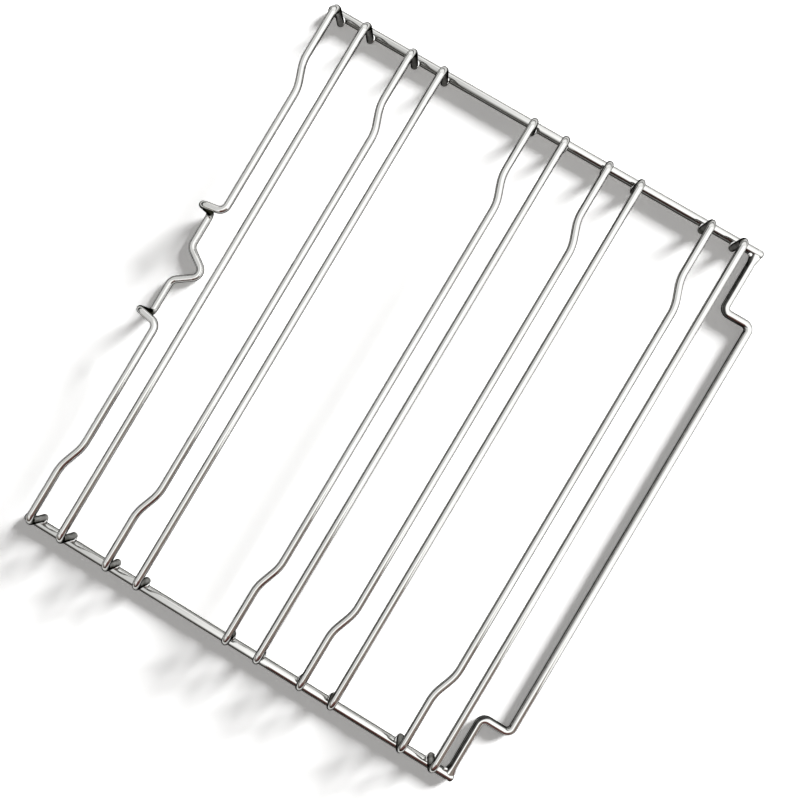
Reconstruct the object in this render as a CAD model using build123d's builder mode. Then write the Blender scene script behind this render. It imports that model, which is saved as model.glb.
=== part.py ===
"""Oven side rack: bent steel wires that carry the shelves, welded to two upright rods.

The rack lies on its wall side. X runs along the shelf wires, from the rear upright to the front one,
Y runs up the uprights towards the hanger, and Z points away from the oven wall.
The origin is under the middle of the rack, on the plane of the wall.
"""

import os
from math import radians, sin, tan

from build123d import *

# Wire gauges
rod_diameter = 6.0
shelf_wire_diameter = 5.0
foot_wire_diameter = 5.5

# Overall layout: the uprights' spacing, and how far the shelf wires stand off the uprights' axes
rod_spacing = 384.0
standoff = 23.0

# Heights up the rack: the foot, the steps from shelf to shelf, the room above a shelf wire, and the hanger
foot_step = 20.0
foot_to_first_shelf = 15.0
first_to_second_shelf = 72.0
second_to_third_shelf = 53.5
third_to_fourth_shelf = 87.5
fourth_to_fifth_shelf = 56.0
shelf_clearance = 11.5
hanger_reach = 15.0

# Uprights: how far their lower ends run past the foot wire's axis, and how round their ends are
rod_end_overrun = 4.0
rod_end_rounding = 2.2

# Legs: the wire ends that turn down to the uprights, and are pressed a little way into them by the weld
leg_bend = 6.5
leg_below_rod_axis = 1.0
weld_set = 1.0
tip_chamfer = 0.5

# Guide wires: a side-step near each end widens the way in for a shelf
guide_step = 6.0
guide_lead_length = 41.0
guide_ramp_length = 16.5
guide_bend = 28.0

# Hanger: two hooks in the top guide wire reach back to the wall, with a notch for a wall stud between them
hook_spacing = 81.0
hook_lean = 2.5
hook_bend = 5.5
drop_bend = 4.5
shoulder_bend = 6.5
notch_depth = 13.7
notch_bend = 5.5
notch_flank_angle = 35.0

# Foot wire: its straight run, its bends and the flared welds at its ends
foot_run_length = 299.0
foot_bend = 4.5
foot_weld_length = 4.0
foot_weld_flare = 2.0

# Radii and places that follow from the sizes above
rod_radius = rod_diameter / 2
wire_radius = shelf_wire_diameter / 2
foot_radius = foot_wire_diameter / 2
rod_x = rod_spacing / 2
rod_z = rod_radius
foot_z = rod_z
hanger_z = wire_radius
wire_z = rod_z + standoff
leg_x = rod_x - (rod_radius + wire_radius - weld_set)
leg_tip_z = rod_z - leg_below_rod_axis
guide_pitch = shelf_clearance + shelf_wire_diameter

shelf_steps = [first_to_second_shelf, second_to_third_shelf, third_to_fourth_shelf, fourth_to_fifth_shelf]
shelves_height = foot_step + foot_to_first_shelf + sum(shelf_steps)
rack_height = foot_radius + shelves_height + guide_pitch + hanger_reach + wire_radius
foot_run_y = foot_radius - rack_height / 2
foot_end_y = foot_run_y + foot_step
first_shelf_y = foot_end_y + foot_to_first_shelf
shelf_y = [first_shelf_y + sum(shelf_steps[:level]) for level in range(len(shelf_steps) + 1)]
guide_y = [y + guide_pitch for y in shelf_y]
hanger_y = guide_y[-1] + hanger_reach
rod_low_y = foot_end_y - rod_end_overrun
rod_top_y = rack_height / 2

# The uprights' cylinders, longer than the rods, shape the ends of the wires that seat on them
rod_cutter = Cylinder(rod_radius, 2 * rack_height, rotation=(90, 0, 0))
rod_cutters = [Pos(side * rod_x, 0, rod_z) * rod_cutter for side in (-1, 1)]


def whole(half_points):
    """Return half a wire's points and their mirror image in the plane between the uprights."""
    return half_points + [(-x, y, z) for x, y, z in reversed(half_points) if x != 0]


def whole_radii(half_radii, middle_radii=()):
    """Return half a wire's bend radii, those of the bends at its middle, and the half again in reverse."""
    return [*half_radii, *middle_radii, *reversed(half_radii)]


def guide_half(y):
    """Return the points of half a guide wire: leg, lead, ramp down to its run at height y."""
    lead_y = y + guide_step
    ramp_x = leg_x - guide_lead_length
    return [
        (-leg_x, lead_y, leg_tip_z),
        (-leg_x, lead_y, wire_z),
        (-ramp_x, lead_y, wire_z),
        (-ramp_x + guide_ramp_length, y, wire_z),
    ]


def shelf_level_wire(points, radii):
    """Return a wire bent along its points, blunted at its two tips and seated on the uprights."""
    with BuildPart() as wire:
        with BuildLine() as path:
            FilletPolyline(*points, radius=radii)
        with BuildSketch(Plane(path.line @ 0, z_dir=path.line % 0)):
            Circle(wire_radius)
        sweep()
        tips = wire.faces().filter_by(Axis.Z).group_by(Axis.Z)[0]
        chamfer(tips.edges(), tip_chamfer)
        add(rod_cutters, mode=Mode.SUBTRACT)
    return wire.part


def write(part, name):
    """Label a finished piece and write it to its own file."""
    part.label = name
    export_step(part, f"parts/{name}.step")


os.makedirs("parts", exist_ok=True)

# The two upright rods, with rounded ends
for name, side in (("rear_upright", -1), ("front_upright", 1)):
    with BuildPart() as upright:
        with BuildSketch(Plane((side * rod_x, rod_low_y, rod_z), z_dir=(0, 1, 0))):
            Circle(rod_radius)
        extrude(amount=rod_top_y - rod_low_y)
        fillet(upright.faces().filter_by(Axis.Y).edges(), rod_end_rounding)
    write(upright.part, name)

# The straight wires that the shelves rest on
for level, y in enumerate(shelf_y, start=1):
    shelf_points = whole([(-leg_x, y, leg_tip_z), (-leg_x, y, wire_z)])
    write(shelf_level_wire(shelf_points, whole_radii([leg_bend])), f"shelf_wire_{level}")

# The guide wires that keep a shelf from tipping, side-stepped near their ends
guide_radii = [leg_bend, guide_bend, guide_bend]
for level, y in enumerate(guide_y[:-1], start=1):
    write(shelf_level_wire(whole(guide_half(y)), whole_radii(guide_radii)), f"guide_wire_{level}")

# The top guide wire: in its middle two hooks go back to the wall, and between them a notch takes a stud
hook_x = hook_spacing / 2
drop_x = hook_x - hook_lean
notch_corner_drop = notch_depth + notch_bend * (1 / sin(radians(notch_flank_angle)) - 1)
shoulder_x = notch_corner_drop * tan(radians(notch_flank_angle))
hanger_points = guide_half(guide_y[-1]) + [
    (-hook_x, guide_y[-1], wire_z),
    (-drop_x, hanger_y, wire_z),
    (-drop_x, hanger_y, hanger_z),
    (-shoulder_x, hanger_y, hanger_z),
    (0, hanger_y - notch_corner_drop, hanger_z),
]
hanger_radii = guide_radii + [hook_bend, drop_bend, drop_bend, shoulder_bend]
write(shelf_level_wire(whole(hanger_points), whole_radii(hanger_radii, [notch_bend])), "hanger_wire")

# The foot wire, stepped down between the uprights, with a flared weld where each end meets its upright
foot_points = whole([
    (-rod_x, foot_end_y, foot_z),
    (-foot_run_length / 2, foot_end_y, foot_z),
    (-foot_run_length / 2, foot_run_y, foot_z),
])
with BuildPart() as foot_wire:
    with BuildLine() as foot_path:
        FilletPolyline(*foot_points, radius=foot_bend)
    with BuildSketch(Plane(foot_path.line @ 0, z_dir=foot_path.line % 0)):
        Circle(foot_radius)
    sweep()
    for side in (-1, 1):
        weld_start_x = side * (rod_x - rod_radius - foot_weld_length)
        with BuildSketch(Plane((weld_start_x, foot_end_y, foot_z), x_dir=(0, 1, 0), z_dir=(side, 0, 0))):
            Circle(foot_radius)
        with BuildSketch(Plane((side * rod_x, foot_end_y, foot_z), x_dir=(0, 1, 0), z_dir=(side, 0, 0))):
            Ellipse(foot_radius + foot_weld_flare, foot_radius)
        loft()
    add(rod_cutters, mode=Mode.SUBTRACT)
write(foot_wire.part, "foot_wire")
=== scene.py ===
"""Looks of an oven side rack: bright plated wires, welded to two uprights, lying on a white studio floor."""

import logging
import math
import random
from dataclasses import dataclass, field
from enum import Enum
from typing import Any, Callable, Optional, Union

import bpy
from mathutils import Matrix, Vector


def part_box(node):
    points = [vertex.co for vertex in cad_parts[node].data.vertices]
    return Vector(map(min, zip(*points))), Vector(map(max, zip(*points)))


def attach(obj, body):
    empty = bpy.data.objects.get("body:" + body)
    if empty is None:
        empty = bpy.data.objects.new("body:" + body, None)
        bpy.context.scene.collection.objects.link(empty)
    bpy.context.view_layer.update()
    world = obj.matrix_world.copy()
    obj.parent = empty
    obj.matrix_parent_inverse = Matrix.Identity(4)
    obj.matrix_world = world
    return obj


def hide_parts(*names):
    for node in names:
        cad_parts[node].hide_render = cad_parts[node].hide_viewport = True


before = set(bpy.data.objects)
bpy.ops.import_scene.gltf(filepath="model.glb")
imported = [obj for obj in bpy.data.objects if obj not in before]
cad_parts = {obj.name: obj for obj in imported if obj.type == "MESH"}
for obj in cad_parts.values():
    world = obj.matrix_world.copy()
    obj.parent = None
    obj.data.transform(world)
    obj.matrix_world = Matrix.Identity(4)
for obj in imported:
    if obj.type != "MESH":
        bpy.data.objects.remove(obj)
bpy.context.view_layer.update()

LOG = logging.getLogger("oven_side_rack")

# What the frame calls the rack's body
BODY = "root"

# The attribute that says how squarely a mesh faces the direction that gets painted light; where it faces
# away, its base colour gets painted shade
LIGHT_FACING = "crown"

MM = 0.001
MERGE_DISTANCE = 0.001 * MM
SMOOTH_ANGLE = math.radians(35)
QUARTER_TURN = math.pi / 2
STREAK_STRETCH = 0.04
INWARDS = Vector((0, 0, 1))

Colour = tuple[float, float, float]
Stops = tuple[tuple[float, Colour], ...]
Corners = list[tuple[Vector, float]]
WeldPlace = tuple[str, Vector, float]
Number = Union[float, "Signal"]
LightDirection = Callable[[Vector], Vector]


class End(Enum):
    """The two ends of the rack, with the sign of X on their side."""

    REAR = -1
    FRONT = 1


class Grain(Enum):
    """The direction in which a wire was drawn, as the stretch of its streaks along X, Y and Z."""

    ALONG_X = (STREAK_STRETCH, 1.0, 1.0)
    ALONG_Y = (1.0, STREAK_STRETCH, 1.0)
    NONE = (1.0, 1.0, 1.0)


class Signal:
    """A shader socket that can be used in Python sums."""

    def __init__(self, graph: "Graph", socket: bpy.types.NodeSocket) -> None:
        """Wrap an output socket of a graph."""
        self.graph = graph
        self.socket = socket

    def _math(self, operation: str, left: Number, right: Number) -> "Signal":
        """Return the result of a two-sided sum as a new signal."""
        return self.graph.node("ShaderNodeMath", {"operation": operation}, {0: left, 1: right})

    def __add__(self, other: Number) -> "Signal":
        """Return this plus other."""
        return self._math("ADD", self, other)

    def __radd__(self, other: Number) -> "Signal":
        """Return other plus this."""
        return self._math("ADD", other, self)

    def __sub__(self, other: Number) -> "Signal":
        """Return this minus other."""
        return self._math("SUBTRACT", self, other)

    def __rsub__(self, other: Number) -> "Signal":
        """Return other minus this."""
        return self._math("SUBTRACT", other, self)

    def __mul__(self, other: Number) -> "Signal":
        """Return this times other."""
        return self._math("MULTIPLY", self, other)

    def __rmul__(self, other: Number) -> "Signal":
        """Return other times this."""
        return self._math("MULTIPLY", other, self)

    def or_else(self, other: Number) -> "Signal":
        """Return the larger of this and other."""
        return self._math("MAXIMUM", self, other)

    def rise(self, low: float, high: float) -> "Signal":
        """Return a smooth step from 0 at low to 1 at high."""
        limits = {"Value": self, "From Min": low, "From Max": high}
        return self.graph.node("ShaderNodeMapRange", {"interpolation_type": "SMOOTHSTEP"}, limits)


class Graph:
    """A node tree that is written as expressions."""

    def __init__(self, tree: bpy.types.NodeTree) -> None:
        """Empty a node tree and write into it."""
        self.tree = tree
        tree.nodes.clear()

    def node(
        self,
        kind: str,
        settings: Optional[dict[str, Any]] = None,
        inputs: Optional[dict[Union[int, str], Any]] = None,
        output: Union[int, str] = 0,
    ) -> Signal:
        """Add a node of any kind.

        Args:
            kind: The node's type name.
            settings: The node's own properties, set before its sockets.
            inputs: Values or signals for its sockets, by name or number.
            output: The socket that is handed on, by name or number.

        Returns:
            The chosen output as a signal, or the node's first input where it has no output.
        """
        made = self.tree.nodes.new(kind)
        for name, value in (settings or {}).items():
            if name == "stops":
                self.set_stops(made.color_ramp, value)
            else:
                setattr(made, name, value)
        for key, value in (inputs or {}).items():
            if isinstance(value, Signal):
                self.tree.links.new(value.socket, made.inputs[key])
            else:
                made.inputs[key].default_value = value
        return Signal(self, made.outputs[output] if made.outputs else made.inputs[0])

    @staticmethod
    def set_stops(ramp: bpy.types.ColorRamp, stops: Stops) -> None:
        """Give a colour ramp its stops.

        Args:
            ramp: The ramp.
            stops: A place and a colour for each stop, in order along the ramp.
        """
        while len(ramp.elements) < len(stops):
            ramp.elements.new(1.0)
        for element, (place, colour) in zip(ramp.elements, stops):
            element.position = place
            element.color = (*colour, 1.0)

    def blend(self, share: Number, low: Any, high: Any) -> Signal:
        """Return a colour between two others.

        Args:
            share: 0 for the low colour, 1 for the high one.
            low: A colour or a signal.
            high: A colour or a signal.

        Returns:
            The blended colour.
        """
        first, second, result = 6, 7, 2
        ends = {first: self.opaque(low), second: self.opaque(high)}
        return self.node("ShaderNodeMix", {"data_type": "RGBA"}, {0: share, **ends}, result)

    @staticmethod
    def opaque(colour: Any) -> Any:
        """Return a plain colour with an alpha of 1, and a signal as it is."""
        return colour if isinstance(colour, Signal) else (*colour, 1.0)

    def places(self, stretch: tuple[float, float, float] = (1.0, 1.0, 1.0)) -> Signal:
        """Return the object's own coordinates, stretched by a factor along each axis."""
        local = self.node("ShaderNodeTexCoord", output="Object")
        return self.node("ShaderNodeMapping", {"vector_type": "POINT"}, {"Vector": local, "Scale": stretch})

    def seen(self) -> Signal:
        """Tell the rays that show a surface from those that light it.

        Returns:
            1 for rays from the camera, mirrors and glass, and 0 for others.
        """
        camera = self.node("ShaderNodeLightPath", output="Is Camera Ray")
        glossy = self.node("ShaderNodeLightPath", output="Is Glossy Ray")
        transmission = self.node("ShaderNodeLightPath", output="Is Transmission Ray")
        return camera.or_else(glossy).or_else(transmission)

    def noise(self, places: Signal, size: float, detail: float = 2.0) -> Signal:
        """Return noise whose lumps are about the given size, in metres."""
        return self.node("ShaderNodeTexNoise", None, {"Vector": places, "Scale": 1 / size, "Detail": detail})


@dataclass(frozen=True)
class PlatedSteel:
    """Bright chrome plating over drawn wire: mirror-like, with faint streaks and a slight waviness.

    Its base colour holds painted light and shade: brightest where the mesh faces a chosen light direction,
    and painted shade on the flanks that face away, standing in for the dark reflections along a wire's edges.
    The legs and other faces turned fully away, which stand across that direction, get a lighter painted
    shade, and tarnish clouds the flanks and the legs.
    """

    name: str
    grain: Grain
    bright: Colour = (0.532, 0.532, 0.518)
    dull: Colour = (0.476, 0.476, 0.462)
    # flank and leg hold painted shade, for faces turned away from the light direction
    flank: Colour = (0.168, 0.168, 0.16)
    lit_limits: tuple[float, float] = (0.42, 0.68)
    leg: Colour = (0.375, 0.375, 0.365)
    leg_shade_limits: tuple[float, float] = (0.16, 0.04)
    stain: Colour = (0.125, 0.125, 0.118)
    stain_size: float = 5 * MM
    tarnish: float = 0.5
    stain_limits: tuple[float, float] = (0.35, 0.65)
    edge: Colour = (0.05, 0.05, 0.05)
    polished: float = 0.04
    hazy: float = 0.1
    haze_limits: tuple[float, float] = (0.35, 0.7)
    streak_share: float = 0.5
    waves_per_cloud: float = 3.0
    wave_size: float = 14 * MM
    wave_height: float = 0.06 * MM
    wave_detail: float = 0.0
    streak_size: float = 0.5 * MM
    streak_height: float = 0.0015 * MM
    streak_detail: float = 3.0

    def material(self) -> bpy.types.Material:
        """Make the finish.

        Returns:
            The new material.
        """
        made = bpy.data.materials.new(self.name)
        made.use_nodes = True
        graph = Graph(made.node_tree)
        places = graph.places()
        streaks = graph.noise(graph.places(self.grain.value), self.streak_size, self.streak_detail)
        clouds = graph.noise(places, self.waves_per_cloud * self.wave_size)
        haze = (streaks * self.streak_share + clouds * (1 - self.streak_share)).rise(*self.haze_limits)
        waves = graph.noise(places, self.wave_size, self.wave_detail)
        height = waves * self.wave_height + streaks * self.streak_height
        bump = graph.node("ShaderNodeBump", None, {"Strength": 1.0, "Distance": 1.0, "Height": height})
        crown = graph.node("ShaderNodeAttribute", {"attribute_name": LIGHT_FACING}, output="Fac")
        stains = graph.noise(places, self.stain_size).rise(*self.stain_limits) * self.tarnish
        plating = graph.blend(haze, self.bright, self.dull)
        # Painted shade: the flank colour, or the lighter leg colour on faces turned fully away from the light
        # direction
        painted_side_shade = graph.blend(crown.rise(*self.leg_shade_limits), self.flank, self.leg)
        side = graph.blend(stains, painted_side_shade, self.stain)
        shader = graph.node("ShaderNodeBsdfPrincipled", None, {
            # Painted light and shade: bright plating where the mesh faces its light direction, painted shade
            # elsewhere
            "Base Color": graph.blend(crown.rise(*self.lit_limits), side, plating),
            "Metallic": 1.0,
            "Specular Tint": (*self.edge, 1.0),
            "Roughness": haze * (self.hazy - self.polished) + self.polished,
            "Normal": bump,
        })
        graph.node("ShaderNodeOutputMaterial", None, {"Surface": shader})
        return made


@dataclass(frozen=True)
class StudioPaper:
    """The white paper that the rack lies on, whiter to the camera and to mirrors than to the light."""

    name: str = "studio_paper"
    colour: Colour = (0.93, 0.93, 0.93)
    shade: Colour = (0.915, 0.915, 0.915)
    shown_colour: Colour = (1.27, 1.27, 1.27)
    shown_shade: Colour = (1.25, 1.25, 1.25)
    fibre_size: float = 6 * MM
    fibre_limits: tuple[float, float] = (0.3, 0.7)
    whiteness: float = 0.243
    glow: Colour = (1.0, 0.98, 0.955)

    def material(self) -> bpy.types.Material:
        """Make the finish.

        Returns:
            The new material.
        """
        made = bpy.data.materials.new(self.name)
        made.use_nodes = True
        graph = Graph(made.node_tree)
        fibres = graph.noise(graph.places(), self.fibre_size).rise(*self.fibre_limits)
        seen = graph.seen()
        lit = graph.blend(fibres, self.colour, self.shade)
        shown = graph.blend(fibres, self.shown_colour, self.shown_shade)
        paper = graph.node("ShaderNodeBsdfDiffuse", None, {"Color": graph.blend(seen, lit, shown)})
        glow = {"Color": (*self.glow, 1.0), "Strength": seen * self.whiteness}
        white = graph.node("ShaderNodeEmission", None, glow)
        both = graph.node("ShaderNodeAddShader", None, {0: paper, 1: white})
        graph.node("ShaderNodeOutputMaterial", None, {"Surface": both})
        return made


@dataclass(frozen=True)
class TentCloth:
    """Tent cloth whose brightness changes with the height above the floor, as a mirror finish shows it.

    The heights are shares of a half turn about the middle of the floor, from 0 at the floor on the near side
    to 1 at the floor on the far side.
    """

    name: str
    across: tuple[float, float]
    stops: Stops
    strength: float

    def material(self) -> bpy.types.Material:
        """Make the finish.

        Returns:
            The new material.
        """
        made = bpy.data.materials.new(self.name)
        made.use_nodes = True
        graph = Graph(made.node_tree)
        places = graph.places()
        height = graph.node("ShaderNodeSeparateXYZ", None, {"Vector": places}, "Z")
        along_x, along_y = self.across
        level = along_x * graph.node("ShaderNodeSeparateXYZ", None, {"Vector": places}, "X")
        level = level + along_y * graph.node("ShaderNodeSeparateXYZ", None, {"Vector": places}, "Y")
        turn = graph.node("ShaderNodeMath", {"operation": "ARCTAN2"}, {0: height, 1: level}) * (1 / math.pi)
        tone = graph.node("ShaderNodeValToRGB", {"stops": self.stops}, {"Fac": turn})
        glow = graph.node("ShaderNodeEmission", None, {"Color": tone, "Strength": self.strength})
        graph.node("ShaderNodeOutputMaterial", None, {"Surface": glow})
        return made


class Bench:
    """The modelling operations that the pieces share."""

    @staticmethod
    def clear_selection() -> None:
        """Leave edit mode and select nothing."""
        if bpy.context.object and bpy.context.object.mode != "OBJECT":
            bpy.ops.object.mode_set(mode="OBJECT")
        bpy.ops.object.select_all(action="DESELECT")

    @staticmethod
    def settle(name: str) -> bpy.types.Object:
        """Name the newest piece and move its place into its mesh.

        Args:
            name: The piece's name.

        Returns:
            The same piece.
        """
        piece = bpy.context.object
        piece.name = piece.data.name = name
        bpy.ops.object.transform_apply(location=True, rotation=True, scale=True)
        return piece

    @classmethod
    def ring(cls, name: str, centre: Vector, heading: Vector, radius: float, sides: int) -> bpy.types.Object:
        """Start a wire with an open ring.

        Args:
            name: The piece's name.
            centre: The ring's centre.
            heading: The way the wire leaves the ring.
            radius: The wire's radius.
            sides: How many sides the wire has.

        Returns:
            The new piece.
        """
        cls.clear_selection()
        turn = heading.to_track_quat("Z", "Y").to_euler()
        bpy.ops.mesh.primitive_circle_add(vertices=sides, radius=radius, location=centre, rotation=turn)
        return cls.settle(name)

    @staticmethod
    def run(step: Vector) -> None:
        """Draw the selected ring out by a straight step."""
        if step.length > MERGE_DISTANCE:
            bpy.ops.mesh.extrude_region_move(TRANSFORM_OT_translate={"value": step})

    @staticmethod
    def close_ends() -> None:
        """Merge doubles, close the open rings and turn all faces outwards."""
        bpy.ops.mesh.select_all(action="SELECT")
        bpy.ops.mesh.remove_doubles(threshold=MERGE_DISTANCE)
        bpy.ops.mesh.select_all(action="DESELECT")
        bpy.ops.mesh.select_non_manifold()
        bpy.ops.mesh.edge_face_add()
        bpy.ops.mesh.select_all(action="SELECT")
        bpy.ops.mesh.normals_make_consistent(inside=False)

    @staticmethod
    def round_caps(piece: bpy.types.Object, sides: int, width: float, segments: int) -> None:
        """Round the rims of a wire's flat end caps.

        Args:
            piece: The wire, in edit mode.
            sides: How many sides a cap has.
            width: The rounding's width.
            segments: How many steps round it.
        """
        bpy.ops.mesh.select_mode(type="FACE")
        bpy.ops.mesh.select_all(action="DESELECT")
        bpy.ops.object.mode_set(mode="OBJECT")
        for face in piece.data.polygons:
            face.select = len(face.vertices) == sides
        bpy.ops.object.mode_set(mode="EDIT")
        bpy.ops.mesh.region_to_loop()
        bpy.ops.mesh.bevel(offset=width, segments=segments, clamp_overlap=False)
        bpy.ops.mesh.select_mode(type="VERT")

    @staticmethod
    def apply(piece: bpy.types.Object, kind: str, settings: dict[str, Any]) -> None:
        """Add a modifier to a piece and apply it.

        Args:
            piece: The piece.
            kind: The modifier's type.
            settings: The modifier's properties.
        """
        bpy.context.view_layer.objects.active = piece
        modifier = piece.modifiers.new(kind.lower(), kind)
        for name, value in settings.items():
            setattr(modifier, name, value)
        bpy.ops.object.modifier_apply(modifier=modifier.name)

    @staticmethod
    def note_light_facing(piece: bpy.types.Object, rubbing: LightDirection) -> None:
        """Note at each corner of a mesh how squarely it faces the direction that gets painted light, for the
        painted light and shade in its finish.

        Args:
            piece: The piece.
            rubbing: Gives the direction that gets painted light at a place on the piece.
        """
        facing = [max(0.0, corner.normal.dot(rubbing(corner.co))) for corner in piece.data.vertices]
        piece.data.attributes.new(LIGHT_FACING, "FLOAT", "POINT").data.foreach_set("value", facing)

    @classmethod
    def dress(cls, piece: bpy.types.Object, finish: bpy.types.Material, rubbing: LightDirection) -> None:
        """Smooth a finished piece, give it its finish and let it ride on the rack.

        Args:
            piece: The piece.
            finish: Its material.
            rubbing: Gives the direction that gets painted light at a place on the piece.
        """
        cls.clear_selection()
        piece.select_set(True)
        bpy.context.view_layer.objects.active = piece
        bpy.ops.object.shade_smooth_by_angle(angle=SMOOTH_ANGLE)
        cls.note_light_facing(piece, rubbing)
        piece.data.materials.clear()
        piece.data.materials.append(finish)
        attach(piece, BODY)
        LOG.info("%s: %d faces", piece.name, len(piece.data.polygons))


@dataclass
class Upright:
    """A straight rod with rounded ends, with painted light above and below and painted shade on its flanks.
    """

    node: str
    # How far the painted light leans towards the front end; the rod's flanks turned away get painted shade
    light_lean: float
    radius: float = 3.0 * MM
    end_rounding: float = 2.2 * MM
    end_steps: int = 8
    sides: int = 48

    def rubbing(self, reach: Vector) -> Vector:
        """Return the direction that gets painted light nearest to a place, given from the rod's middle."""
        upper = Vector((math.sin(self.light_lean), 0, math.cos(self.light_lean)))
        return upper if reach.dot(upper) > 0 else -upper

    def centre(self) -> Vector:
        """Return the middle of the rod."""
        low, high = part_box(self.node)
        return (low + high) / 2

    def build(self, finish: bpy.types.Material) -> None:
        """Model the rod and dress it.

        Args:
            finish: The rod's material.
        """
        low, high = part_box(self.node)
        middle = self.centre()
        length = Vector((0, high.y - low.y, 0))
        piece = Bench.ring(self.node + "_rod", middle - length / 2, length, self.radius, self.sides)
        bpy.ops.object.mode_set(mode="EDIT")
        bpy.ops.mesh.select_all(action="SELECT")
        Bench.run(length)
        Bench.close_ends()
        Bench.round_caps(piece, self.sides, self.end_rounding, self.end_steps)
        bpy.ops.object.mode_set(mode="OBJECT")
        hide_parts(self.node)
        Bench.dress(piece, finish, lambda place: self.rubbing(place - middle))


@dataclass
class RodCutter:
    """A tool the size of both uprights, which shapes the wire ends that seat on them."""

    uprights: list[Upright]
    sides: int = 96
    overrun: float = 0.1

    def build(self) -> bpy.types.Object:
        """Model the tool.

        Returns:
            Both cylinders as one object.
        """
        Bench.clear_selection()
        made = []
        for upright in self.uprights:
            low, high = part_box(upright.node)
            bpy.ops.mesh.primitive_cylinder_add(
                vertices=self.sides, radius=upright.radius, depth=high.y - low.y + self.overrun,
                location=upright.centre(), rotation=(QUARTER_TURN, 0, 0))
            made.append(Bench.settle("rod_cutter"))
        for one in made:
            one.select_set(True)
        bpy.ops.object.join()
        return bpy.context.object


@dataclass
class BentWire:
    """A round wire bent at its corners."""

    node: str
    radius: float = 2.5 * MM
    tip_chamfer: float = 0.5 * MM
    chamfer_steps: int = 1
    # How far the painted light leans towards the foot; flanks turned away get painted shade
    light_lean: float = math.radians(10)
    sides: int = 32
    degrees_per_step: float = 4.0
    fewest_steps: int = 2

    def corners(self) -> Corners:
        """Return the wire's points and the bend radius at each, 0 at the two ends."""
        raise NotImplementedError

    def rubbing(self, place: Vector) -> Vector:
        """Return the direction that gets painted light, which leans towards the foot at all places."""
        return Vector((0, -math.sin(self.light_lean), math.cos(self.light_lean)))

    @staticmethod
    def mirrored(half: Corners) -> Corners:
        """Return half a wire's corners followed by their mirror image in the plane between the uprights."""
        across = [(point, bend) for point, bend in reversed(half) if abs(point.x) > 0]
        return half + [(Vector((-point.x, point.y, point.z)), bend) for point, bend in across]

    def sweep(self) -> bpy.types.Object:
        """Model the wire along its corners, with straight runs and round bends.

        Returns:
            The wire with closed ends, in object mode.
        """
        corners = self.corners()
        points = [point for point, _ in corners]
        heading = (points[1] - points[0]).normalized()
        piece = Bench.ring(self.node + "_bent", points[0], heading, self.radius, self.sides)
        bpy.ops.object.mode_set(mode="EDIT")
        bpy.ops.mesh.select_all(action="SELECT")
        here = points[0]
        for (point, bend), after in zip(corners[1:-1], points[2:]):
            onward = (after - point).normalized()
            turn = heading.angle(onward)
            axis = heading.cross(onward).normalized()
            start = point - heading * bend * math.tan(turn / 2)
            centre = start + axis.cross(heading) * bend
            Bench.run(start - here)
            steps = max(self.fewest_steps, round(math.degrees(turn) / self.degrees_per_step))
            bpy.ops.mesh.spin(steps=steps, angle=-turn, center=centre, axis=axis, use_auto_merge=False)
            here = point + onward * bend * math.tan(turn / 2)
            heading = onward
        Bench.run(points[-1] - here)
        Bench.close_ends()
        if self.tip_chamfer:
            Bench.round_caps(piece, self.sides, self.tip_chamfer, self.chamfer_steps)
        bpy.ops.object.mode_set(mode="OBJECT")
        return piece

    def build(self, finish: bpy.types.Material, cutter: bpy.types.Object) -> None:
        """Model the wire, seat its ends on the uprights and dress it.

        Args:
            finish: The wire's material.
            cutter: The uprights' cylinders.
        """
        piece = self.sweep()
        Bench.apply(piece, "BOOLEAN", {"operation": "DIFFERENCE", "solver": "EXACT", "object": cutter})
        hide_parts(self.node)
        Bench.dress(piece, finish, self.rubbing)


@dataclass
class ShelfWire(BentWire):
    """A wire that a shelf rests on: a straight run with a leg at each end."""

    leg_bend: float = 6.5 * MM
    leg_x: float = field(init=False)
    run_y: float = field(init=False)
    run_z: float = field(init=False)
    tip_z: float = field(init=False)

    def half(self) -> Corners:
        """Take the wire's places from its box in the frame.

        Returns:
            The rear leg's corners, from its tip.
        """
        low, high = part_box(self.node)
        self.leg_x = low.x + self.radius
        self.run_y = low.y + self.radius
        self.run_z = high.z - self.radius
        self.tip_z = low.z
        return self.leg(self.run_y)

    def leg(self, y: float) -> Corners:
        """Return the corners of a leg at height y up the rack."""
        tip, knee = (Vector((self.leg_x, y, z)) for z in (self.tip_z, self.run_z))
        return [(tip, 0.0), (knee, self.leg_bend)]

    def corners(self) -> Corners:
        """Return the wire's corners from leg to leg."""
        return self.mirrored(self.half())


@dataclass
class GuideWire(ShelfWire):
    """A wire that keeps a shelf from tipping, side-stepped near its ends."""

    step: float = 6.0 * MM
    lead_length: float = 41.0 * MM
    ramp_length: float = 16.5 * MM
    step_bend: float = 28.0 * MM

    def half(self) -> Corners:
        """Add the side-step to the leg.

        Returns:
            The rear leg's corners and those of the side-step.
        """
        super().half()
        lead_y = self.run_y + self.step
        ramp_x = self.leg_x + self.lead_length
        ramp = [
            (Vector((ramp_x, lead_y, self.run_z)), self.step_bend),
            (Vector((ramp_x + self.ramp_length, self.run_y, self.run_z)), self.step_bend),
        ]
        return self.leg(lead_y) + ramp


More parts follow.
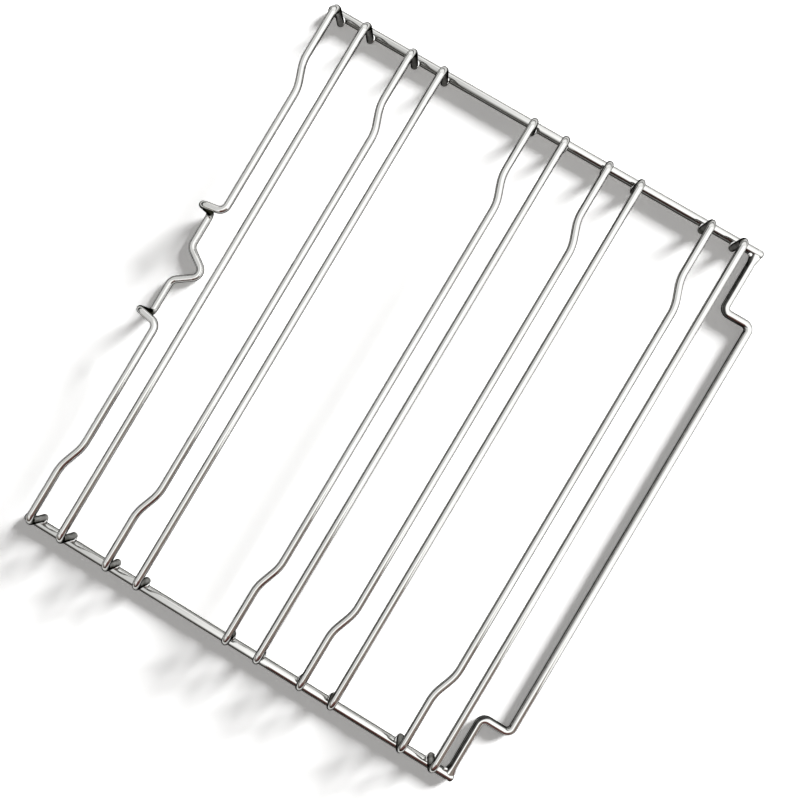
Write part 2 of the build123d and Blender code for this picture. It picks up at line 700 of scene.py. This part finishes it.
@dataclass
class HangerWire(GuideWire):
    """The top guide wire, with two hooks back to the wall and a notch for a stud between them."""

    hook_spacing: float = 81.0 * MM
    hook_lean: float = 2.5 * MM
    hook_bend: float = 5.5 * MM
    drop_bend: float = 4.5 * MM
    shoulder_bend: float = 6.5 * MM
    notch_depth: float = 13.7 * MM
    notch_bend: float = 5.5 * MM
    notch_flank: float = math.radians(35)

    def half(self) -> Corners:
        """Add a hook and half the notch to the leg and the side-step.

        Returns:
            The corners from the rear leg to the bottom of the notch.
        """
        start = super().half()
        low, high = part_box(self.node)
        top_y = high.y - self.radius
        wall_z = low.z + self.radius
        hook_x = -self.hook_spacing / 2
        drop_x = hook_x + self.hook_lean
        corner_drop = self.notch_depth + self.notch_bend * (1 / math.sin(self.notch_flank) - 1)
        shoulder_x = -corner_drop * math.tan(self.notch_flank)
        hook = [
            (Vector((hook_x, self.run_y, self.run_z)), self.hook_bend),
            (Vector((drop_x, top_y, self.run_z)), self.drop_bend),
            (Vector((drop_x, top_y, wall_z)), self.drop_bend),
            (Vector((shoulder_x, top_y, wall_z)), self.shoulder_bend),
            (Vector((0.0, top_y - corner_drop, wall_z)), self.notch_bend),
        ]
        return start + hook

    def leg(self, y: float) -> Corners:
        """Return the corners of a leg, whose tip stands as high as the other wires' tips."""
        self.tip_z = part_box("shelf_wire_1")[0].z
        return super().leg(y)


@dataclass
class FootWire(BentWire):
    """The bottom wire, stepped down between the uprights, with flared welds at its ends."""

    radius: float = 2.75 * MM
    tip_chamfer: float = 0.0
    run_length: float = 299.0 * MM
    step: float = 20.0 * MM
    bend: float = 4.5 * MM
    weld_length: float = 4.0 * MM
    weld_flare: float = 2.0 * MM
    flare_steps: int = 4
    # How far the painted light leans away from the shelf wire in the corners, widening the painted shadow
    # beside the foot wire there
    corner_shade_lean: float = math.radians(38)
    rod_x: float = field(kw_only=True)
    rod_radius: float = field(kw_only=True)
    end_y: float = field(init=False)

    def corners(self) -> Corners:
        """Take the wire's places from its box in the frame.

        Returns:
            The wire's corners from weld to weld.
        """
        low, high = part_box(self.node)
        run_y = low.y + self.radius
        axis_z = (low.z + high.z) / 2
        self.end_y = run_y + self.step
        half_run = self.run_length / 2
        weld_x = self.rod_x - self.rod_radius - self.weld_length
        return self.mirrored([
            (Vector((-weld_x, self.end_y, axis_z)), 0.0),
            (Vector((-half_run, self.end_y, axis_z)), self.bend),
            (Vector((-half_run, run_y, axis_z)), self.bend),
        ])

    def rubbing(self, place: Vector) -> Vector:
        """Lean the painted light away from the shelf wire above, in the two corners and up to the welds, so
        that a wider painted shadow darkens the wire's side towards it.

        Args:
            place: A place on the wire.

        Returns:
            The direction that gets painted light there.
        """
        in_corner = abs(place.x) > (self.run_length - self.bend) / 2
        lean = self.corner_shade_lean if in_corner else 0.0
        return Vector((0, -math.sin(lean), math.cos(lean)))

    def sweep(self) -> bpy.types.Object:
        """Model the wire, then draw each end out to its upright with a flare.

        Returns:
            The wire with closed ends, in object mode.
        """
        piece = super().sweep()
        reach = self.weld_length + self.rod_radius
        spread = (self.radius + self.weld_flare) / self.radius
        for end in End:
            bpy.ops.object.mode_set(mode="EDIT")
            bpy.ops.mesh.select_mode(type="FACE")
            bpy.ops.mesh.select_all(action="DESELECT")
            bpy.ops.object.mode_set(mode="OBJECT")
            for face in piece.data.polygons:
                face.select = len(face.vertices) == self.sides and face.center.x * end.value > 0
            bpy.ops.object.mode_set(mode="EDIT")
            for _ in range(self.flare_steps):
                outwards = (end.value * reach / self.flare_steps, 0, 0)
                bpy.ops.mesh.extrude_region_move(TRANSFORM_OT_translate={"value": outwards})
                bpy.ops.transform.resize(value=(1, spread ** (1 / self.flare_steps), 1))
            bpy.ops.mesh.select_mode(type="VERT")
            bpy.ops.object.mode_set(mode="OBJECT")
        return piece


@dataclass
class WeldMetal:
    """A small lump of metal that a resistance weld squeezes out, modelled once and copied."""

    lumpiness: float
    lump_size: float
    seed: int

    def pattern(self) -> bpy.types.Object:
        """Return one smooth lump at the origin, to be copied."""
        raise NotImplementedError

    def build(self, finish: bpy.types.Material, places: list[WeldPlace]) -> None:
        """Copy the lump to each place, each with its own unevenness.

        Args:
            finish: The lumps' material.
            places: A name, a centre and a lean about Y for each lump.
        """
        draw = random.Random(self.seed)
        pattern = self.pattern()
        for name, centre, lean in places:
            piece = pattern.copy()
            piece.data = pattern.data.copy()
            piece.name = piece.data.name = name
            bpy.context.scene.collection.objects.link(piece)
            lumps = bpy.data.textures.new(name + "_lumps", "CLOUDS")
            lumps.noise_scale = self.lump_size
            shift = Vector([draw.uniform(-1, 1) for _ in range(3)])
            Bench.clear_selection()
            piece.select_set(True)
            bpy.context.view_layer.objects.active = piece
            piece.location = shift
            bpy.ops.object.transform_apply(location=True, rotation=False, scale=False)
            Bench.apply(piece, "DISPLACE", {
                "texture": lumps, "texture_coords": "LOCAL", "strength": self.lumpiness, "mid_level": 0.5,
            })
            piece.location = -shift
            bpy.ops.object.transform_apply(location=True, rotation=False, scale=False)
            piece.location = centre
            piece.rotation_euler = (0.0, lean, 0.0)
            bpy.ops.object.transform_apply(location=True, rotation=True, scale=False)
            # Weld lumps get painted light on their tops and painted shade on their sides
            Bench.dress(piece, finish, lambda place: INWARDS)
        bpy.data.objects.remove(pattern)


@dataclass
class WeldCollar(WeldMetal):
    """The uneven collar round a leg's foot, on the side of its upright."""

    lumpiness: float = 0.7 * MM
    lump_size: float = 1.6 * MM
    seed: int = 11
    ring_radius: float = 2.2 * MM
    ring_steps: int = 44
    thickness: float = 0.95 * MM
    section_steps: int = 16

    def pattern(self) -> bpy.types.Object:
        """Model the collar.

        Returns:
            One smooth collar at the origin, to be copied.
        """
        Bench.clear_selection()
        bpy.ops.mesh.primitive_torus_add(
            major_segments=self.ring_steps, minor_segments=self.section_steps,
            major_radius=self.ring_radius, minor_radius=self.thickness)
        return Bench.settle("weld_collar_pattern")


@dataclass
class WeldBead(WeldMetal):
    """The bead in the corner between the foot wire and an upright."""

    lumpiness: float = 0.9 * MM
    lump_size: float = 1.8 * MM
    seed: int = 23
    reach: Vector = field(default_factory=lambda: Vector((1.5, 1.7, 1.5)) * MM)
    around_steps: int = 28
    height_steps: int = 18

    def pattern(self) -> bpy.types.Object:
        """Model the bead.

        Returns:
            One smooth bead at the origin, to be copied.
        """
        Bench.clear_selection()
        bpy.ops.mesh.primitive_uv_sphere_add(
            segments=self.around_steps, ring_count=self.height_steps, radius=1.0)
        bpy.ops.object.mode_set(mode="EDIT")
        bpy.ops.mesh.select_all(action="SELECT")
        bpy.ops.transform.resize(value=self.reach)
        bpy.ops.object.mode_set(mode="OBJECT")
        return Bench.settle("weld_bead_pattern")


@dataclass
class SideRack:
    """The whole rack."""

    # The rods' dark flank and leg colours are painted shade on the faces turned from their light direction
    rod_plating: PlatedSteel = PlatedSteel(
        "plated_rod", Grain.ALONG_Y,
        flank=(0.15, 0.15, 0.143), leg=(0.15, 0.15, 0.143), lit_limits=(0.6, 0.9))
    wire_plating: PlatedSteel = PlatedSteel("plated_wire", Grain.ALONG_X)
    # The foot's near-black flank and leg colours are painted shadow along its side
    foot_plating: PlatedSteel = PlatedSteel(
        "plated_foot", Grain.ALONG_X,
        flank=(0.046, 0.046, 0.044), leg=(0.046, 0.046, 0.044), lit_limits=(0.48, 0.68))
    # The welds' flank colour is painted shade on their sides
    weld_plating: PlatedSteel = PlatedSteel(
        "plated_weld", Grain.NONE,
        bright=(0.7, 0.7, 0.69), dull=(0.55, 0.55, 0.54), flank=(0.36, 0.36, 0.35),
        polished=0.1, hazy=0.3, wave_size=2 * MM)
    # How far each upright's painted light leans towards the front end, which sets where its painted shade
    # falls
    rear_light_lean: float = math.radians(25)
    front_light_lean: float = math.radians(12)
    shelf_levels: int = 5
    collar_height: float = 4.3 * MM
    collar_offset: float = 0.9 * MM
    collar_lean: float = math.radians(25)
    bead_height: float = 4.6 * MM
    bead_inset: float = 3.4 * MM
    bead_spread: float = 3.6 * MM
    spatter_height: float = 4.2 * MM
    spatter_outset: float = 1.1 * MM

    def collar_places(self, wires: list[ShelfWire]) -> list[WeldPlace]:
        """Place a collar at the foot of each leg.

        Args:
            wires: The wires that have legs.

        Returns:
            A name, a centre and a lean for each collar.
        """
        places = []
        for wire in wires:
            tip = wire.half()[0][0]
            for end in End:
                name = f"weld_{wire.node}_{end.name.lower()}"
                centre = Vector((end.value * (self.collar_offset - tip.x), tip.y, self.collar_height))
                places.append((name, centre, -end.value * self.collar_lean))
        return places

    def bead_places(self, foot: FootWire) -> list[WeldPlace]:
        """Place two beads at each end of the foot wire.

        Args:
            foot: The foot wire.

        Returns:
            A name, a centre and a lean for each bead.
        """
        places = []
        aside = Vector((0, self.bead_spread, 0))
        for end in End:
            name = f"weld_foot_wire_{end.name.lower()}"
            corner = Vector((end.value * (foot.rod_x - self.bead_inset), foot.end_y, self.bead_height))
            outer = Vector((end.value * (foot.rod_x + self.spatter_outset), foot.end_y, self.spatter_height))
            places += [(name + "_inner", corner + aside, 0.0), (name + "_outer", outer, 0.0)]
        return places

    def build(self) -> None:
        """Model all the pieces and dress them."""
        rod_finish = self.rod_plating.material()
        wire_finish = self.wire_plating.material()
        foot_finish = self.foot_plating.material()
        weld_finish = self.weld_plating.material()
        rear = Upright("rear_upright", self.rear_light_lean)
        front = Upright("front_upright", self.front_light_lean)
        for upright in (rear, front):
            upright.build(rod_finish)
        cutter = RodCutter([rear, front]).build()
        levels = range(1, self.shelf_levels + 1)
        wires = [ShelfWire(f"shelf_wire_{level}") for level in levels]
        wires += [GuideWire(f"guide_wire_{level}") for level in levels[:-1]]
        wires.append(HangerWire("hanger_wire"))
        for wire in wires:
            wire.build(wire_finish, cutter)
        foot = FootWire("foot_wire", rod_x=front.centre().x, rod_radius=front.radius)
        foot.build(foot_finish, cutter)
        bpy.data.objects.remove(cutter)
        WeldCollar().build(weld_finish, self.collar_places(wires))
        WeldBead().build(weld_finish, self.bead_places(foot))


@dataclass
class LightTent:
    """The tent round the set. Only the plating shows it: the lamp and the camera look through its cloth."""

    brightest: float = 2.1
    pale: Colour = (1.75, 1.75, 1.75)
    plain: Colour = (1.15, 1.15, 1.15)
    dim: Colour = (0.75, 0.75, 0.75)
    black: Colour = (0.012, 0.012, 0.012)
    tan: Colour = (0.45, 0.39, 0.34)
    maroon: Colour = (0.23, 0.1, 0.09)
    brown: Colour = (0.06, 0.035, 0.028)
    radius: float = 1.2
    half_length: float = 1.1
    sides: int = 96
    brown_sweep: tuple[float, float] = (math.radians(181), math.radians(228))
    tan_sweep: tuple[float, float] = (math.radians(228), math.radians(250))
    curtain_radius: float = 0.62
    curtain_height: float = 1.02
    curtain_sides: int = 384

    def cloth(self, name: str, across: tuple[float, float], stops: Stops) -> TentCloth:
        """Return a cloth whose ramp holds its tones as shares of the brightest one."""
        shares = tuple((place, tuple(part / self.brightest for part in tone)) for place, tone in stops)
        return TentCloth(f"tent_{name}_cloth", across, shares, self.brightest)

    @staticmethod
    def hang(piece: bpy.types.Object, cloth: TentCloth) -> None:
        """Clothe a wall of the tent, and leave it to the plating alone.

        Args:
            piece: The wall.
            cloth: Its cloth.
        """
        piece.data.materials.append(cloth.material())
        for ray in ("camera", "diffuse", "transmission", "volume_scatter", "shadow"):
            setattr(piece, "visible_" + ray, False)

    def vault(self, cloth: TentCloth) -> None:
        """Stretch the roof from the hanger's side to the foot's side.

        Args:
            cloth: The roof's cloth.
        """
        Bench.clear_selection()
        bpy.ops.mesh.primitive_circle_add(
            vertices=self.sides, radius=self.radius,
            location=(-self.half_length, 0, 0), rotation=(0, QUARTER_TURN, 0))
        piece = Bench.settle("tent_vault")
        bpy.ops.object.mode_set(mode="EDIT")
        bpy.ops.mesh.select_all(action="SELECT")
        Bench.run(Vector((2 * self.half_length, 0, 0)))
        bpy.ops.object.mode_set(mode="OBJECT")
        self.hang(piece, cloth)

    def wall(self, end: End, cloth: TentCloth) -> None:
        """Close one end of the vault.

        Args:
            end: The end of the rack that the wall faces.
            cloth: The wall's cloth.
        """
        Bench.clear_selection()
        bpy.ops.mesh.primitive_circle_add(
            vertices=self.sides, radius=self.radius, fill_type="NGON",
            location=(end.value * self.half_length, 0, 0), rotation=(0, QUARTER_TURN, 0))
        self.hang(Bench.settle("tent_wall_" + end.name.lower()), cloth)

    def curtain(self, name: str, sweep: tuple[float, float], stops: Stops) -> None:
        """Draw a curtain round a part of the tent.

        Args:
            name: The curtain's name.
            sweep: The headings of its two edges.
            stops: Its tones by height.
        """
        Bench.clear_selection()
        bpy.ops.mesh.primitive_cylinder_add(
            vertices=self.curtain_sides, radius=self.curtain_radius, depth=self.curtain_height,
            end_fill_type="NOTHING", location=(0, 0, self.curtain_height / 2))
        piece = Bench.settle("tent_curtain_" + name)
        first, last = sweep
        bpy.ops.object.mode_set(mode="EDIT")
        bpy.ops.mesh.select_mode(type="FACE")
        bpy.ops.mesh.select_all(action="DESELECT")
        bpy.ops.object.mode_set(mode="OBJECT")
        for face in piece.data.polygons:
            heading = math.atan2(face.center.y, face.center.x) % math.tau
            face.select = not first < heading < last
        bpy.ops.object.mode_set(mode="EDIT")
        bpy.ops.mesh.delete(type="FACE")
        bpy.ops.mesh.select_mode(type="VERT")
        bpy.ops.object.mode_set(mode="OBJECT")
        middle = (first + last) / 2
        self.hang(piece, self.cloth(name, (math.cos(middle), math.sin(middle)), stops))

    def build(self) -> None:
        """Hang the roof, both end walls and the curtains."""
        black, brown, maroon, tan = self.black, self.brown, self.maroon, self.tan
        dim, plain, pale, full = self.dim, self.plain, self.pale, (self.brightest,) * 3
        roof = (
            (0.0, black), (0.11, black), (0.13, dim), (0.15, plain), (0.41, plain),
            (0.51, full), (0.965, full), (0.98, black), (1.0, black),
        )
        rear = ((0.0, black), (0.03, brown), (0.09, tan), (0.16, plain), (0.25, pale), (0.5, plain))
        front = ((0.0, black), (0.025, black), (0.06, plain), (0.12, pale), (0.5, plain))
        brown_tones = ((0.0, black), (0.05, brown), (0.13, maroon), (0.22, maroon), (0.32, tan))
        tan_tones = ((0.0, black), (0.05, maroon), (0.13, tan), (0.22, tan), (0.32, dim))
        self.vault(self.cloth("roof", (0.0, 1.0), roof))
        self.wall(End.REAR, self.cloth("rear", (-1.0, 0.0), rear))
        self.wall(End.FRONT, self.cloth("front", (1.0, 0.0), front))
        self.curtain("brown", self.brown_sweep, brown_tones)
        self.curtain("tan", self.tan_sweep, tan_tones)


@dataclass
class Studio:
    """The floor, the light and the camera."""

    floor_size: float = 12.0
    sky: Colour = (1.0, 1.0, 1.0)
    ambient: float = 0.09
    lamp_heading: float = math.radians(-28)
    lamp_height: float = math.radians(13.5)
    lamp_spread: float = math.radians(24)
    lamp_strength: float = 12.0
    camera_stand: Vector = field(default_factory=lambda: Vector((-7.6, -23.0, 515.8)) * MM)
    camera_aim: Vector = field(default_factory=lambda: Vector((-3.8, -0.15, 0.0)) * MM)
    camera_up_heading: float = math.radians(30.8)
    lens: float = 36.0
    sensor: float = 36.0
    nearest: float = 1 * MM

    def floor(self) -> None:
        """Lay the paper under the rack."""
        Bench.clear_selection()
        bpy.ops.mesh.primitive_plane_add(size=self.floor_size)
        piece = Bench.settle("studio_floor")
        piece.data.materials.append(StudioPaper().material())

    def world(self) -> None:
        """Fill the studio with soft light, and show white behind the rack and in its plating."""
        world = bpy.data.worlds.new("studio")
        bpy.context.scene.world = world
        world.use_nodes = True
        graph = Graph(world.node_tree)
        strength = graph.seen() * (1 - self.ambient) + self.ambient
        sky = graph.node("ShaderNodeBackground", None, {"Color": (*self.sky, 1.0), "Strength": strength})
        graph.node("ShaderNodeOutputWorld", None, {"Surface": sky})

    def lamp(self) -> None:
        """Light the set with one broad soft lamp that stands low, past the front upright."""
        level = math.cos(self.lamp_height)
        toward = Vector((
            math.cos(self.lamp_heading) * level,
            math.sin(self.lamp_heading) * level,
            math.sin(self.lamp_height),
        ))
        Bench.clear_selection()
        bpy.ops.object.light_add(type="SUN", location=toward)
        lamp = bpy.context.object
        lamp.name = "soft_lamp"
        lamp.rotation_euler = toward.to_track_quat("Z", "Y").to_euler()
        lamp.data.angle = self.lamp_spread
        lamp.data.energy = self.lamp_strength
        lamp.visible_glossy = False

    def camera(self) -> None:
        """Stand the camera over the rack."""
        back = (self.camera_stand - self.camera_aim).normalized()
        heading = Vector((math.cos(self.camera_up_heading), math.sin(self.camera_up_heading), 0))
        right = heading.cross(back).normalized()
        up = back.cross(right)
        bpy.ops.object.camera_add(location=self.camera_stand)
        camera = bpy.context.object
        camera.rotation_euler = Matrix((right, up, back)).transposed().to_euler()
        camera.data.sensor_width = self.sensor
        camera.data.lens = self.lens
        camera.data.clip_start = self.nearest
        bpy.context.scene.camera = camera

    def build(self) -> None:
        """Set up the whole studio."""
        self.floor()
        self.world()
        self.lamp()
        LightTent().build()
        self.camera()
        bpy.context.scene.view_settings.view_transform = "Standard"


def main() -> None:
    """Build the rack and the studio."""
    logging.basicConfig(level=logging.INFO, format="%(name)s: %(message)s")
    SideRack().build()
    Studio().build()


if __name__ == "__main__":
    main()
